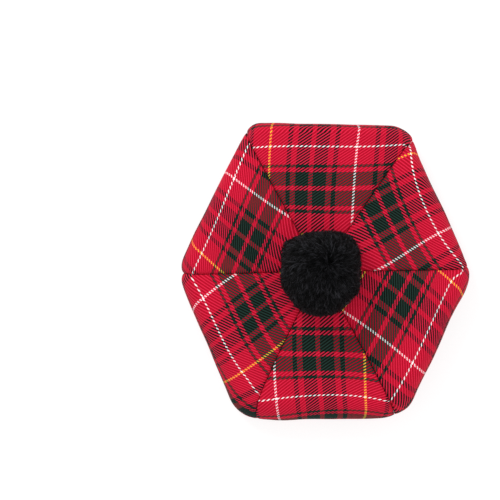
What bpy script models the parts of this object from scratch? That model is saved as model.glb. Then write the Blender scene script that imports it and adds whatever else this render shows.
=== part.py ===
"""Tam o shanter: six crown panels, a gathered underside, a headband, a lining and a pompom.

Metres, +Z up. The hat rests on the rim of its headband at z = 0. The crown's box is centred
on x = y = 0, and +Y is the far side of the hat as it lies in front of the viewer.
"""
import math
import random
from collections import namedtuple

import bmesh
import bpy
from mathutils import Vector

# Cloth and clearances
CLOTH = 0.0020            # wall of the tartan panels
GATHERED_CLOTH = 0.0024   # wall of the underside, measured along its folds' direction
LINING_CLOTH = 0.0012
CLEARANCE = 0.0003        # between two pieces that are sewn together
SEAM_GAP = 0.0004         # between two neighbouring crown panels
EDGE_GAP = 0.0005         # between the crown panels and the underside

# Crown: a soft hexagon seen from above, low and gently domed
CENTRE = Vector((-0.0053, 0.0004))   # where the six panels meet
CROWN_TOP = 0.0550
PANEL_TIP = 0.0050        # radius at which the wedge panels end, under the pompom
DIMPLE_DEPTH = 0.0018
DIMPLE_RADIUS = 0.0220
PUFF = 0.0026             # how far a panel swells between its seams
PUFF_FLATNESS = 2.4       # 2 is a round swell, more is flatter in the middle
PUFF_START = 0.12         # share of the swell's arch that is already passed at the tip
PUFF_END = 0.92           # and at the sewn edge
SEAM_DEPTH = 0.0026       # how far a seam is pulled in
SEAM_WIDTH = 0.0032
SEAM_START = 0.12         # step along the panel at which the seam has its full depth
NOTCH_DEPTH = 0.0016      # extra pull where a seam meets the edge

Corner = namedtuple("Corner", "x y rounding")
CORNERS = (
    Corner(0.1548, -0.0033, 0.026),
    Corner(0.0836, 0.1522, 0.025),
    Corner(-0.0785, 0.1559, 0.018),
    Corner(-0.1564, 0.0007, 0.040),
    Corner(-0.0907, -0.1557, 0.036),
    Corner(0.0829, -0.1547, 0.041),
)

# Seams run from the centre to the corners; angles in degrees at the tip and at the edge
Seam = namedtuple("Seam", "tip edge")
SEAMS = (
    Seam(0.0, 1.5),
    Seam(56.0, 54.5),
    Seam(119.5, 117.9),
    Seam(182.0, 181.0),
    Seam(242.5, 247.0),
    Seam(298.5, 297.5),
)

# All round, the crown turns down from its shoulder to the sewn edge: by direction in degrees,
# the width of that turn seen from above, and the heights of the shoulder and the sewn edge
Edge = namedtuple("Edge", "direction roll shoulder sewn")
EDGES = (
    Edge(0.0, 0.014, 0.0465, 0.0220),
    Edge(27.0, 0.015, 0.0480, 0.0235),
    Edge(58.0, 0.011, 0.0475, 0.0255),
    Edge(90.0, 0.008, 0.0490, 0.0290),
    Edge(118.0, 0.011, 0.0465, 0.0255),
    Edge(152.0, 0.013, 0.0480, 0.0240),
    Edge(181.0, 0.014, 0.0455, 0.0215),
    Edge(207.0, 0.016, 0.0475, 0.0225),
    Edge(237.0, 0.024, 0.0450, 0.0180),
    Edge(270.0, 0.023, 0.0475, 0.0200),
    Edge(299.0, 0.019, 0.0455, 0.0195),
    Edge(333.0, 0.016, 0.0475, 0.0225),
)

# Shallow dents in the soft crown, by direction in degrees and distance from the centre
Dent = namedtuple("Dent", "direction distance width depth")
DENTS = (
    Dent(12.0, 0.118, 0.024, 0.0022),
    Dent(41.0, 0.092, 0.030, 0.0020),
    Dent(96.0, 0.112, 0.028, 0.0012),
    Dent(158.0, 0.088, 0.032, 0.0018),
    Dent(214.0, 0.104, 0.026, 0.0016),
    Dent(283.0, 0.094, 0.030, 0.0014),
    Dent(327.0, 0.112, 0.026, 0.0020),
)

# Underside: one strip from the crown's edge to the headband
TURN_DEPTH = 0.0085       # how far the strip goes down before it turns inward
TURN_WIDTH = 0.0120
TURN_SHARE = 0.34         # share of the strip that the turn takes
BAND_SEAM_HEIGHT = 0.0245
GATHERS = 36
GATHER_DEPTH = 0.0080
GATHER_ROUNDNESS = 0.8    # 1 is a plain sine, less is rounder on its ridge and sharper in its valley
GATHER_FADE = 1.6         # how quickly the gathers die out towards the edge

# Ripples of so many waves a turn, each with its size and its start in degrees
Ripple = namedtuple("Ripple", "count size turn")
GATHER_DRIFT = (          # how unevenly the gathers are spaced, in gathers
    Ripple(3, 0.30, 34.0),
    Ripple(7, 0.36, 109.0),
)
GATHER_STRENGTH = (       # how unevenly deep they are, about the mean share
    Ripple(5, 0.16, 23.0),
    Ripple(11, 0.10, 115.0),
)
GATHER_MEAN = 0.74

# Folds that run on from the headband to the edge, by direction and half width in degrees
LongFold = namedtuple("LongFold", "direction width depth")
LONG_FOLD_END = 1.15      # past 1, so that the folds are still open where they meet the band
LONG_FOLD_FLATNESS = 0.7
LONG_FOLDS = (
    LongFold(112.0, 3.5, 0.0042),
    LongFold(141.0, 4.0, 0.0050),
    LongFold(196.0, 3.0, 0.0034),
    LongFold(238.0, 4.5, 0.0056),
    LongFold(251.0, 3.0, 0.0038),
    LongFold(318.0, 3.5, 0.0036),
    LongFold(28.0, 3.0, 0.0034),
)

# Headband: a doubled strip with elastic in it, rolled at the rim
BAND_RADIUS = 0.0960      # outer face at the top, where the underside is sewn on
BAND_HEIGHT = 0.0280
BAND_WALL = 0.0030
RIM_RADIUS = 0.0805       # middle of the rolled rim
RIM_ROLL = 0.0026

# The band isn't a true ring: it waves in a few long ripples
BAND_RIPPLES = (
    Ripple(2, 0.0022, 40.0),
    Ripple(3, 0.0016, 105.0),
    Ripple(7, 0.0006, 20.0),
)

# The rolled rim's outline, in rolls outward from the rim's middle and up from the surface
Rim = namedtuple("Rim", "out up")
RIM_OUTSIDE = (Rim(-0.4, 0.0), Rim(0.4, 0.0), Rim(1.0, 0.6), Rim(1.1, 1.4), Rim(1.0, 2.3))
RIM_INSIDE = (Rim(-0.3, 2.3), Rim(-0.9, 1.4), Rim(-1.0, 0.6))

# Lining: a shallow dome of wedges that meet in a puckered star
Ring = namedtuple("Ring", "share height")
LINING_RINGS = (
    Ring(1.000, 0.0284),
    Ring(1.012, 0.0322),
    Ring(0.995, 0.0370),
    Ring(0.930, 0.0405),
    Ring(0.780, 0.0428),
    Ring(0.580, 0.0446),
    Ring(0.370, 0.0458),
    Ring(0.190, 0.0466),
    Ring(0.070, 0.0474),
)
LINING_RADIUS = BAND_RADIUS - 0.0024
LINING_WEDGES = 6
LINING_TURN = 17.0        # degrees from +X to the first wedge seam
LINING_SEAM_DEPTH = 0.0010
LINING_LIFT = 3.0         # how soon the wall's thickness turns from sideways to upward
WRINKLES = 13
WRINKLE_DEPTH = 0.0011
WRINKLE_DRIFT = 1.3       # how unevenly the wrinkles are spaced

# Pompom: locks of yarn on a ball
POMPOM_CENTRE = Vector((-0.0042, -0.0029))
POMPOM_HALF = Vector((0.0415, 0.0435, 0.0400))
POMPOM_SQUARENESS = 2.5   # 2 is round, more is squarer
POMPOM_TURN = math.radians(8.0)
POMPOM_WAIST = 0.0180     # below this depth the ball is pressed flat by its own seat
POMPOM_PRESS = 0.36
LOCK_LENGTH = 0.0058
LOCK_SHORTEST = 0.72      # shortest lock as a share of the longest
LOCK_TIP = 0.60           # tip's width as a share of its root
LOCK_SEED = 5

# Mesh steps
PANEL_COLUMNS = (0.0, 0.035, 0.10, 0.20, 0.35, 0.5, 0.65, 0.80, 0.90, 0.965, 1.0)
CROWN_STEPS = (0.0, 0.15, 0.30, 0.45, 0.60, 0.72, 0.83, 0.93, 1.0)
SHOULDER_STEP = 0.60
STRIP_STEPS = (0.0, 0.12, 0.23, 0.34, 0.55, 0.77, 1.0)
COLUMNS_PER_GATHER = 4
BAND_COLUMNS = 54
LINING_COLUMNS = 48
NORMAL_STEP = 0.004       # how far apart along a profile its direction is taken


def lerp(a, b, share):
    return a + (b - a) * share


def place(angle, radius, height):
    """A point in space from its angle and distance about the crown's centre."""
    return Vector((CENTRE.x + radius * math.cos(angle), CENTRE.y + radius * math.sin(angle), height))


def angle_between(a, b):
    """The turn from a to b in radians, between minus and plus half a turn."""
    return (b - a + math.pi) % math.tau - math.pi


def corner_arc(index):
    """A rounded corner: its point, the arc's centre, and the length that the arc takes off a side."""
    here = Vector(CORNERS[index][:2]) - CENTRE
    before = Vector(CORNERS[index - 1][:2]) - CENTRE
    after = Vector(CORNERS[(index + 1) % len(CORNERS)][:2]) - CENTRE
    back = (before - here).normalized()
    forward = (after - here).normalized()
    half = math.acos(max(-1.0, min(1.0, back.dot(forward)))) / 2
    rounding = CORNERS[index].rounding
    middle = here + (back + forward).normalized() * rounding / math.sin(half)
    return here, middle, rounding / math.tan(half)


ARCS = tuple(corner_arc(index) for index in range(len(CORNERS)))


def edge_radius(angle):
    """How far the soft hexagon reaches from the crown's centre in one direction."""
    ray = Vector((math.cos(angle), math.sin(angle)))
    for index, (start, _, _) in enumerate(ARCS):
        following = (index + 1) % len(ARCS)
        end = ARCS[following][0]
        side = end - start
        turn = ray.x * side.y - ray.y * side.x
        reach = (start.x * side.y - start.y * side.x) / turn if abs(turn) > 1e-12 else -1.0
        along = (ray * reach - start).dot(side) / side.length
        if reach > 0 and 0 <= along <= side.length:
            for corner, distance in ((index, along), (following, side.length - along)):
                _, middle, cut = ARCS[corner]
                if distance < cut:
                    level = ray.dot(middle)
                    rounding = CORNERS[corner].rounding
                    return level + math.sqrt(level * level - middle.length_squared + rounding * rounding)
            return reach
    raise ValueError("the hexagon has no side in this direction")


def edge_sizes(angle):
    """The turn's width, the shoulder's height and the sewn edge's height in one direction."""
    for index, row in enumerate(EDGES):
        following = EDGES[(index + 1) % len(EDGES)]
        span = math.radians(following.direction - row.direction) % math.tau
        passed = (angle - math.radians(row.direction)) % math.tau
        if passed <= span:
            share = (1 - math.cos(math.pi * passed / span)) / 2
            return [lerp(a, b, share) for a, b in zip(row[1:], following[1:])]
    raise ValueError("no edge lies in this direction")


def seam_angle(index, share):
    """A seam's direction at a share of the way from the centre to the edge."""
    seam = SEAMS[index % len(SEAMS)]
    return math.radians(lerp(seam.tip, seam.edge, share * share))


def crown_profile(angle, step):
    """The crown's outer surface in one direction as (radius, height), from the tip to the sewn edge."""
    edge = edge_radius(angle)
    roll, shoulder, sewn = edge_sizes(angle)
    if step <= SHOULDER_STEP:
        share = step / SHOULDER_STEP
        radius = lerp(PANEL_TIP, edge - roll, share)
        dimple = DIMPLE_DEPTH * math.exp(-(radius / DIMPLE_RADIUS) ** 2)
        return radius, lerp(shoulder, CROWN_TOP, 1 - share * share) - dimple
    turn = math.pi / 2 * (step - SHOULDER_STEP) / (1 - SHOULDER_STEP)
    return edge - roll * (1 - math.sin(turn)), lerp(sewn, shoulder, math.cos(turn))


def profile_normal(profile, angle, step):
    """The outward direction across a profile, from two points close to this one."""
    before = profile(angle, max(0.0, step - NORMAL_STEP))
    after = profile(angle, min(1.0, step + NORMAL_STEP))
    run = Vector((after[0] - before[0], after[1] - before[1])).normalized()
    return Vector((-run.y, run.x))


def dents(angle, radius):
    """How far the crown's shallow dents press it down at one place."""
    here = Vector((radius * math.cos(angle), radius * math.sin(angle)))
    depth = 0.0
    for row in DENTS:
        turn = math.radians(row.direction)
        away = (here - row.distance * Vector((math.cos(turn), math.sin(turn)))).length / row.width
        depth += row.depth * math.exp(-away * away)
    return depth


def panel_relief(across, distance, step):
    """How far a panel stands off the plain crown: swollen in the middle, pulled in at its seams."""
    arch = math.sin(math.pi * lerp(PUFF_START, PUFF_END, step))
    swell = PUFF * arch * (1 - abs(2 * across - 1) ** PUFF_FLATNESS)
    depth = SEAM_DEPTH + NOTCH_DEPTH * max(0.0, (step - SHOULDER_STEP) / (1 - SHOULDER_STEP))
    return swell - min(1.0, step / SEAM_START) * depth * math.exp(-distance / SEAM_WIDTH)


def panel_points(index, across, step):
    """A panel's outer and inner point at a share of its width and a step along its length."""
    first = seam_angle(index, step)
    span = (seam_angle(index + 1, step) - first) % math.tau
    middle = first + span * across
    radius = crown_profile(middle, step)[0]
    inset = SEAM_GAP / 2 / radius
    angle = first + inset + (span - 2 * inset) * across
    radius, height = crown_profile(angle, step)
    normal = profile_normal(crown_profile, angle, step)
    distance = radius * span * min(across, 1 - across)
    relief = panel_relief(across, distance, step) - dents(angle, radius)
    points = []
    for offset in (relief, relief - CLOTH):
        points.append(place(angle, radius + normal.x * offset, height + normal.y * offset))
    return points


def wave(ripples, angle):
    """The sum of a table's ripples in one direction."""
    return sum(row.size * math.sin(row.count * angle + math.radians(row.turn)) for row in ripples)


def gather_angle(phase):
    """The direction of a place on the gathered strip, whose folds are unevenly spaced."""
    return math.tau * (phase + wave(GATHER_DRIFT, math.tau * phase / GATHERS)) / GATHERS


def gather_strength(phase):
    """How deep the folds are at a place on the strip, as a share of the deepest."""
    return GATHER_MEAN + wave(GATHER_STRENGTH, math.tau * phase / GATHERS)


def strip_profile(angle, step):
    """The underside's plain surface in one direction as (radius, height), from the edge to the band."""
    edge = edge_radius(angle)
    start = edge_sizes(angle)[2] - EDGE_GAP
    low = start - TURN_DEPTH
    if step <= TURN_SHARE:
        turn = math.pi / 2 * step / TURN_SHARE
        return edge - TURN_WIDTH * (1 - math.cos(turn)), start - TURN_DEPTH * math.sin(turn)
    share = (step - TURN_SHARE) / (1 - TURN_SHARE)
    inner = BAND_RADIUS + CLEARANCE + wave(BAND_RIPPLES, angle)
    rise = share * share * (3 - 2 * share)
    return lerp(edge - TURN_WIDTH, inner, share), lerp(low, BAND_SEAM_HEIGHT, rise)


def seam_pull(angle, step):
    """How far the ends of the crown's seams pull in the top of the underside."""
    edge = edge_radius(angle)
    nearest = min(abs(angle_between(math.radians(seam.edge), angle)) for seam in SEAMS)
    fade = max(0.0, 1 - step / TURN_SHARE)
    return (SEAM_DEPTH + NOTCH_DEPTH) * fade * math.exp(-edge * nearest / SEAM_WIDTH)


def strip_relief(phase, angle, step):
    """How far the gathered strip stands off its plain surface."""
    share = max(0.0, (step - TURN_SHARE) / (1 - TURN_SHARE))
    fold = math.sin(math.pi * (phase % 1.0)) ** GATHER_ROUNDNESS
    gathered = GATHER_DEPTH * gather_strength(phase) * fold * share ** GATHER_FADE
    reach = math.sin(math.pi * step / LONG_FOLD_END) ** LONG_FOLD_FLATNESS
    pinch = 0.0
    for row in LONG_FOLDS:
        away = angle_between(math.radians(row.direction), angle) / math.radians(row.width)
        pinch += row.depth * math.exp(-away * away) * reach
    return gathered - pinch - seam_pull(angle, step)


def strip_points(phase, step):
    """The underside's outer and inner point at a place round the strip and a step across it."""
    angle = gather_angle(phase)
    radius, height = strip_profile(angle, step)
    normal = profile_normal(strip_profile, angle, step)
    relief = strip_relief(phase, angle, step)
    points = []
    for offset in (relief, relief - GATHERED_CLOTH):
        points.append(place(angle, radius + normal.x * offset, height + normal.y * offset))
    return points


def lining_points(angle, ring):
    """The lining's upper and lower point in one direction on one of its rings."""
    rim = LINING_RADIUS + wave(BAND_RIPPLES, angle)
    low = LINING_RINGS[0].height
    raised = (ring.height - low) / (LINING_RINGS[-1].height - low)
    wedge = (LINING_WEDGES * (angle - math.radians(LINING_TURN)) / math.tau) % 1.0
    distance = min(wedge, 1 - wedge) / LINING_WEDGES * math.tau * rim * ring.share
    relief = LINING_SEAM_DEPTH * math.exp(-distance / SEAM_WIDTH)
    pucker = math.sin(WRINKLES * angle + WRINKLE_DRIFT * math.sin(3 * angle)) * raised * (1 - ring.share)
    height = ring.height - raised * relief + WRINKLE_DEPTH * pucker
    out = min(1.0, LINING_LIFT * (1 - raised))
    upper = place(angle, rim * ring.share + LINING_CLOTH * out, height + LINING_CLOTH * (1 - out))
    return upper, place(angle, rim * ring.share, height)


def band_section(angle):
    """The headband's cross-section in one direction, as points round it from the flat of the rim."""
    ripple = wave(BAND_RIPPLES, angle)
    rim = RIM_RADIUS + ripple
    top = BAND_RADIUS + ripple
    points = [place(angle, rim + row.out * RIM_ROLL, row.up * RIM_ROLL) for row in RIM_OUTSIDE]
    points.append(place(angle, top, BAND_HEIGHT))
    points.append(place(angle, top - BAND_WALL, BAND_HEIGHT))
    points += [place(angle, rim + row.out * RIM_ROLL, row.up * RIM_ROLL) for row in RIM_INSIDE]
    return points


def material(name, colour, roughness):
    """A plain cloth or yarn finish."""
    finish = bpy.data.materials.new(name)
    finish.use_nodes = True
    shader = finish.node_tree.nodes["Principled BSDF"]
    shader.inputs["Base Color"].default_value = (*colour, 1.0)
    shader.inputs["Roughness"].default_value = roughness
    shader.inputs["Metallic"].default_value = 0.0
    return finish


def finish_object(name, mesh, finish, sharp_angle):
    """Turns a closed mesh into a named, smooth shaded object."""
    bmesh.ops.recalc_face_normals(mesh, faces=mesh.faces)
    data = bpy.data.meshes.new(name)
    mesh.to_mesh(data)
    mesh.free()
    data.shade_smooth()
    data.set_sharp_from_angle(angle=math.radians(sharp_angle))
    data.materials.append(finish)
    item = bpy.data.objects.new(name, data)
    bpy.context.scene.collection.objects.link(item)
    return item


def add_strip(mesh, first, second, closed):
    """Faces between two rows of vertices, each quad cut along the same diagonal."""
    count = len(first)
    for j in range(count if closed else count - 1):
        k = (j + 1) % count
        mesh.faces.new((first[j], first[k], second[k]))
        mesh.faces.new((first[j], second[k], second[j]))


def walled_sheet(name, grid, closed, finish):
    """A sheet of cloth from rows of (outer, inner) points, closed round its edges."""
    mesh = bmesh.new()
    outer = [[mesh.verts.new(pair[0]) for pair in row] for row in grid]
    inner = [[mesh.verts.new(pair[1]) for pair in row] for row in grid]
    for skin in (outer, inner):
        for first, second in zip(skin, skin[1:]):
            add_strip(mesh, first, second, closed)
    for row in (0, -1):
        add_strip(mesh, outer[row], inner[row], closed)
    if not closed:
        for column in (0, -1):
            edge = [row[column] for row in outer]
            add_strip(mesh, edge, [row[column] for row in inner], False)
    return finish_object(name, mesh, finish, 50)


def build_crown_panels(finish):
    """Six wedges, each between two neighbouring seams."""
    for index in range(len(SEAMS)):
        grid = []
        for step in CROWN_STEPS:
            grid.append([panel_points(index, across, step) for across in PANEL_COLUMNS])
        walled_sheet(f"top_panel_{index + 1}", grid, False, finish)


def build_underside(finish):
    """The strip that turns in under the crown and is gathered into the headband."""
    columns = GATHERS * COLUMNS_PER_GATHER
    grid = []
    for step in STRIP_STEPS:
        grid.append([strip_points(column / COLUMNS_PER_GATHER, step) for column in range(columns)])
    walled_sheet("gathered_underside", grid, True, finish)


def build_headband(finish):
    """The band on which the hat stands, swept round its rippled ring."""
    mesh = bmesh.new()
    rings = []
    for column in range(BAND_COLUMNS):
        angle = math.tau * column / BAND_COLUMNS
        rings.append([mesh.verts.new(point) for point in band_section(angle)])
    for first, second in zip(rings, rings[1:] + rings[:1]):
        add_strip(mesh, first, second, True)
    finish_object("headband", mesh, finish, 40)


def build_lining(finish):
    """The dome inside the hat, closed by its puckered star."""
    angles = [math.tau * column / LINING_COLUMNS for column in range(LINING_COLUMNS)]
    mesh = bmesh.new()
    rows = [[lining_points(angle, ring) for angle in angles] for ring in LINING_RINGS]
    upper = [[mesh.verts.new(pair[0]) for pair in row] for row in rows]
    lower = [[mesh.verts.new(pair[1]) for pair in row] for row in rows]
    for skin, lift in ((upper, LINING_CLOTH), (lower, 0.0)):
        for first, second in zip(skin, skin[1:]):
            add_strip(mesh, first, second, True)
        star = mesh.verts.new(place(0.0, 0.0, LINING_RINGS[-1].height + lift))
        last = skin[-1]
        for j, vertex in enumerate(last):
            mesh.faces.new((vertex, last[(j + 1) % len(last)], star))
    add_strip(mesh, upper[0], lower[0], True)
    finish_object("lining", mesh, finish, 50)


def pompom_radius(direction):
    """How far the ball under the locks reaches in one direction, a little square from above."""
    turned = Vector((
        direction.x * math.cos(POMPOM_TURN) + direction.y * math.sin(POMPOM_TURN),
        direction.y * math.cos(POMPOM_TURN) - direction.x * math.sin(POMPOM_TURN),
        direction.z,
    ))
    total = 0.0
    for part, half in zip(turned, POMPOM_HALF):
        total += abs(part / (half - LOCK_LENGTH)) ** POMPOM_SQUARENESS
    return total ** (-1 / POMPOM_SQUARENESS)


def crown_height(point):
    """The crown's outer surface under a point near its centre, where no seam pulls it down."""
    away = Vector(point[:2]) - CENTRE
    angle = math.atan2(away.y, away.x)
    shoulder = edge_radius(angle) - edge_sizes(angle)[0]
    step = SHOULDER_STEP * max(0.0, away.length - PANEL_TIP) / (shoulder - PANEL_TIP)
    return crown_profile(angle, min(step, SHOULDER_STEP))[1] + panel_relief(0.5, shoulder, step)


def build_pompom(finish):
    """A ball of yarn whose surface is drawn out into locks."""
    rng = random.Random(LOCK_SEED)
    mesh = bmesh.new()
    bmesh.ops.create_icosphere(mesh, subdivisions=3, radius=1.0)
    for vertex in mesh.verts:
        vertex.co *= pompom_radius(vertex.co.normalized())
    roots = list(mesh.faces)
    for root in roots:
        middle = root.calc_center_median()
        outward = (root.normal + middle.normalized()).normalized()
        length = LOCK_LENGTH * rng.uniform(LOCK_SHORTEST, 1.0)
        bmesh.ops.inset_individual(mesh, faces=[root], thickness=0.0, depth=0.0)
        for vertex in root.verts:
            vertex.co = middle + (vertex.co - middle) * LOCK_TIP + outward * length
    for vertex in mesh.verts:
        below = max(0.0, -vertex.co.z - POMPOM_WAIST)
        vertex.co.z += below * (1 - POMPOM_PRESS)
    for vertex in mesh.verts:
        vertex.co += Vector((*POMPOM_CENTRE, CROWN_TOP))
    lift = max(crown_height(vertex.co) - vertex.co.z for vertex in mesh.verts) + CLEARANCE
    for vertex in mesh.verts:
        vertex.co.z += lift
    finish_object("pompom", mesh, finish, 75)


def main():
    for item in list(bpy.data.objects):
        bpy.data.objects.remove(item)
    tartan = material("tartan_cloth", (0.42, 0.010, 0.045), 0.85)
    underside = material("tartan_strip", (0.36, 0.010, 0.040), 0.85)
    band_cloth = material("band_cloth", (0.014, 0.012, 0.012), 0.90)
    lining_cloth = material("lining_cloth", (0.020, 0.020, 0.021), 0.60)
    yarn = material("pompom_yarn", (0.006, 0.006, 0.007), 0.95)
    build_crown_panels(tartan)
    build_underside(underside)
    build_headband(band_cloth)
    build_lining(lining_cloth)
    build_pompom(yarn)


main()
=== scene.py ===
import math
from collections import namedtuple

import bmesh
import bpy
import numpy as np
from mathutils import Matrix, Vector, noise


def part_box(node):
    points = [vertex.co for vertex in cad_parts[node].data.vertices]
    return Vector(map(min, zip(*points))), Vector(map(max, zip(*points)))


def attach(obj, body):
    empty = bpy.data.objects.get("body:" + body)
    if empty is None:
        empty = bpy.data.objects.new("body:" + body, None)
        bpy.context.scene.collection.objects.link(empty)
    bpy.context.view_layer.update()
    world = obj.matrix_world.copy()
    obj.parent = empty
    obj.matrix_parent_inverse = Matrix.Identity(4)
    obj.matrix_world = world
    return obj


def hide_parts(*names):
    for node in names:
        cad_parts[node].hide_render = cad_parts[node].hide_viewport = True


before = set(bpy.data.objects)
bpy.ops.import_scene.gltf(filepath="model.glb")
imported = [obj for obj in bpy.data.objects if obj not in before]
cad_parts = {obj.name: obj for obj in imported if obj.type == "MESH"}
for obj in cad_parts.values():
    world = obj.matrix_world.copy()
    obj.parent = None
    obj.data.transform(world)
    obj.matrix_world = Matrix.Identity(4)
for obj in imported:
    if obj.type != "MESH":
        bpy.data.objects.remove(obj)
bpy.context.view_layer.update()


def table(fields, *rows):
    """Rows of numbers as tuples with named fields."""
    kind = namedtuple("Row", fields)
    return tuple(kind(*row) for row in rows)


# Crown, as in the part's source
CENTRE = np.array([-0.0053, 0.0004])
CROWN_TOP = 0.0550
PANEL_TIP = 0.0050
DIMPLE_DEPTH = 0.0018
DIMPLE_RADIUS = 0.0220
PUFF = 0.0026
PUFF_FLATNESS = 2.4
PUFF_START = 0.12
PUFF_END = 0.92
SEAM_DEPTH = 0.0026
SEAM_WIDTH = 0.0032
SEAM_START = 0.12
NOTCH_DEPTH = 0.0016
SEAM_GAP = 0.0004
EDGE_GAP = 0.0005
SHOULDER_STEP = 0.60

# Crown, as its cloth lies. Notches draw a seam in where it ends at the edge, and tucks draw it in
# on the roll, short of its end. Both are listed by the seam's number.
CLOTH = 0.0016
STITCHING = (0.0021, 0.0015)  # depth and width
DRAWN_IN = (0.0011, 0.0065)
ROLL_EASE = 0.72  # how much of a seam's pull is gone at the end of the roll
NOTCHES = {3: 0.0026, 2: 0.0010}
NOTCH_WIDTH = 0.0042
TUCKS = {1: 0.0024, 2: 0.0024, 5: 0.0028}
TUCK_WIDTH = 0.0030
EDGE_FULLNESS = 0.0013
PUCKER_REACH = 0.0070  # how far from a seam its puckers run out
PUCKER_START = 0.0015  # and how far from it they begin
PANEL_FLAT_ROWS = 56
PANEL_ROLL_ROWS = 31
PANEL_COLUMNS = 85
SEAM_CROWDING = 0.45  # how much closer the columns stand near the seams

CORNERS = table(
    "x y rounding",
    (0.1548, -0.0033, 0.026), (0.0836, 0.1522, 0.025), (-0.0785, 0.1559, 0.018),
    (-0.1564, 0.0007, 0.040), (-0.0907, -0.1557, 0.036), (0.0829, -0.1547, 0.041),
)
SEAMS = table(
    "tip edge",
    (0.0, 1.5), (56.0, 54.5), (119.5, 117.9), (182.0, 181.0), (242.5, 247.0), (298.5, 297.5),
)
EDGES = table(
    "direction roll shoulder sewn",
    (0.0, 0.014, 0.0465, 0.0220), (27.0, 0.015, 0.0480, 0.0235), (58.0, 0.011, 0.0475, 0.0255),
    (90.0, 0.008, 0.0490, 0.0290), (118.0, 0.011, 0.0465, 0.0255), (152.0, 0.013, 0.0480, 0.0240),
    (181.0, 0.014, 0.0455, 0.0215), (207.0, 0.016, 0.0475, 0.0225), (237.0, 0.024, 0.0450, 0.0180),
    (270.0, 0.023, 0.0475, 0.0200), (299.0, 0.019, 0.0455, 0.0195), (333.0, 0.016, 0.0475, 0.0225),
)
DENTS = table(
    "direction distance width depth",
    (12.0, 0.118, 0.024, 0.0022), (41.0, 0.092, 0.030, 0.0020), (96.0, 0.112, 0.028, 0.0012),
    (158.0, 0.088, 0.032, 0.0018), (214.0, 0.104, 0.026, 0.0016), (283.0, 0.094, 0.030, 0.0014),
    (327.0, 0.112, 0.026, 0.0020),
)

# Where the cloth stands out past the plain hexagon at its edge, or falls short of it
BULGES = table(
    "direction width size",
    (55.0, 4.0, 0.0026), (77.0, 4.0, -0.0004), (-9.0, 4.0, 0.0012), (-21.0, 7.0, -0.0016),
    (-57.0, 4.0, 0.0012), (-105.0, 6.0, 0.0010),
)

# Underside, band and lining, as in the part's source
TURN_DEPTH = 0.0085
TURN_WIDTH = 0.0120
TURN_SHARE = 0.34
BAND_SEAM_HEIGHT = 0.0245
GATHERS = 36
GATHER_DEPTH = 0.0080
GATHER_ROUNDNESS = 0.8
GATHER_FADE = 1.6
Ripple = namedtuple("Ripple", "count size turn")
GATHER_DRIFT = (Ripple(3, 0.30, 34.0), Ripple(7, 0.36, 109.0))
GATHER_STRENGTH = (Ripple(5, 0.16, 23.0), Ripple(11, 0.10, 115.0))
GATHER_MEAN = 0.74
LONG_FOLD_END = 1.15
LONG_FOLD_FLATNESS = 0.7
LONG_FOLDS = table(
    "direction width size",
    (112.0, 3.5, 0.0042), (141.0, 4.0, 0.0050), (196.0, 3.0, 0.0034), (238.0, 4.5, 0.0056),
    (251.0, 3.0, 0.0038), (318.0, 3.5, 0.0036), (28.0, 3.0, 0.0034),
)
BAND_RADIUS = 0.0960
BAND_HEIGHT = 0.0280
BAND_WALL = 0.0030
RIM_RADIUS = 0.0805
RIM_ROLL = 0.0026
BAND_RIPPLES = (Ripple(2, 0.0022, 40.0), Ripple(3, 0.0016, 105.0), Ripple(7, 0.0006, 20.0))
# The rim's rounded outline, out and up in sizes of its roll
RIM_OUTSIDE = ((-0.4, 0.0), (0.4, 0.0), (1.0, 0.6), (1.1, 1.4), (1.0, 2.3))
RIM_INSIDE = ((-0.3, 2.3), (-0.9, 1.4), (-1.0, 0.6))
# The lining's rings, as shares of its radius and heights. The last one closes in on the star.
LINING_RINGS = (
    (1.000, 0.0284), (1.012, 0.0322), (0.995, 0.0370), (0.930, 0.0405), (0.780, 0.0428),
    (0.580, 0.0446), (0.370, 0.0458), (0.190, 0.0466), (0.070, 0.0474), (0.004, 0.0474),
)
LINING_RADIUS = BAND_RADIUS - 0.0024
LINING_WEDGES = 6
LINING_TURN = 17.0
STAR_SHIFT = (0.018, -0.014)
CLEARANCE = 0.0003

# Underside, band and lining, as their cloth lies
UNDERSIDE_CLOTH = 0.0020
TURN_ROWS = 16
STRIP_ROWS = 31
GATHER_COLUMNS = 20
SMALL_GATHERS = 3  # in each large one
SMALL_GATHER_DEPTH = 0.0013
SMALL_GATHER_MEAN = 0.7
SMALL_GATHER_FADE = 1.7
SLACK_START = 0.1  # step along the strip at which its slack is in full
STRIP_REPEATS = 12  # half setts round the strip, the first at its white line
STRIP_TURN = 25.0  # units from there to the strip's start
STRIP_LINE = 0.020  # way along the strip to its pale line
STRIP_TILT = 5.0  # units by which the strip is sewn in askew
STRIP_TILT_TURN = 0.8
BAND_COLUMNS = 480
BAND_OUTLINE = 44
CREASE_LEAST = 0.35  # share of the creases that is left at the rim
CREASE_START = 0.08
CREASE_SPAN = 0.9
CREASE_LIFT = 0.25  # how slowly the creases change up the band
LINING_CLOTH = 0.0008
LINING_COLUMNS = 288
LINING_ROWS = 73
LINING_LEAN = 3.0  # how soon the wall's thickness turns from sideways to upward
LINING_SEAM = (0.0008, 0.0016)
LINING_FALL = 0.0042  # how deep the wrinkles hang
LINING_FAN = 0.5
STAR = table(
    "count drift drift_count twist middle width depth",
    (22, 1.7, 3, 5.0, 0.12, 0.12, 0.0009), (9, 1.9, 2, 2.5, 0.26, 0.20, 0.0013),
)

# Pompom
POMPOM_CENTRE = np.array([-0.0042, -0.0029])
POMPOM_HEIGHT = 0.0400
POMPOM_SQUARENESS = 2.4
POMPOM_WAIST = 0.0180
POMPOM_PRESS = 0.36
POMPOM_SINK = 0.0003  # keeps the ball's top within the source's
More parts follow.
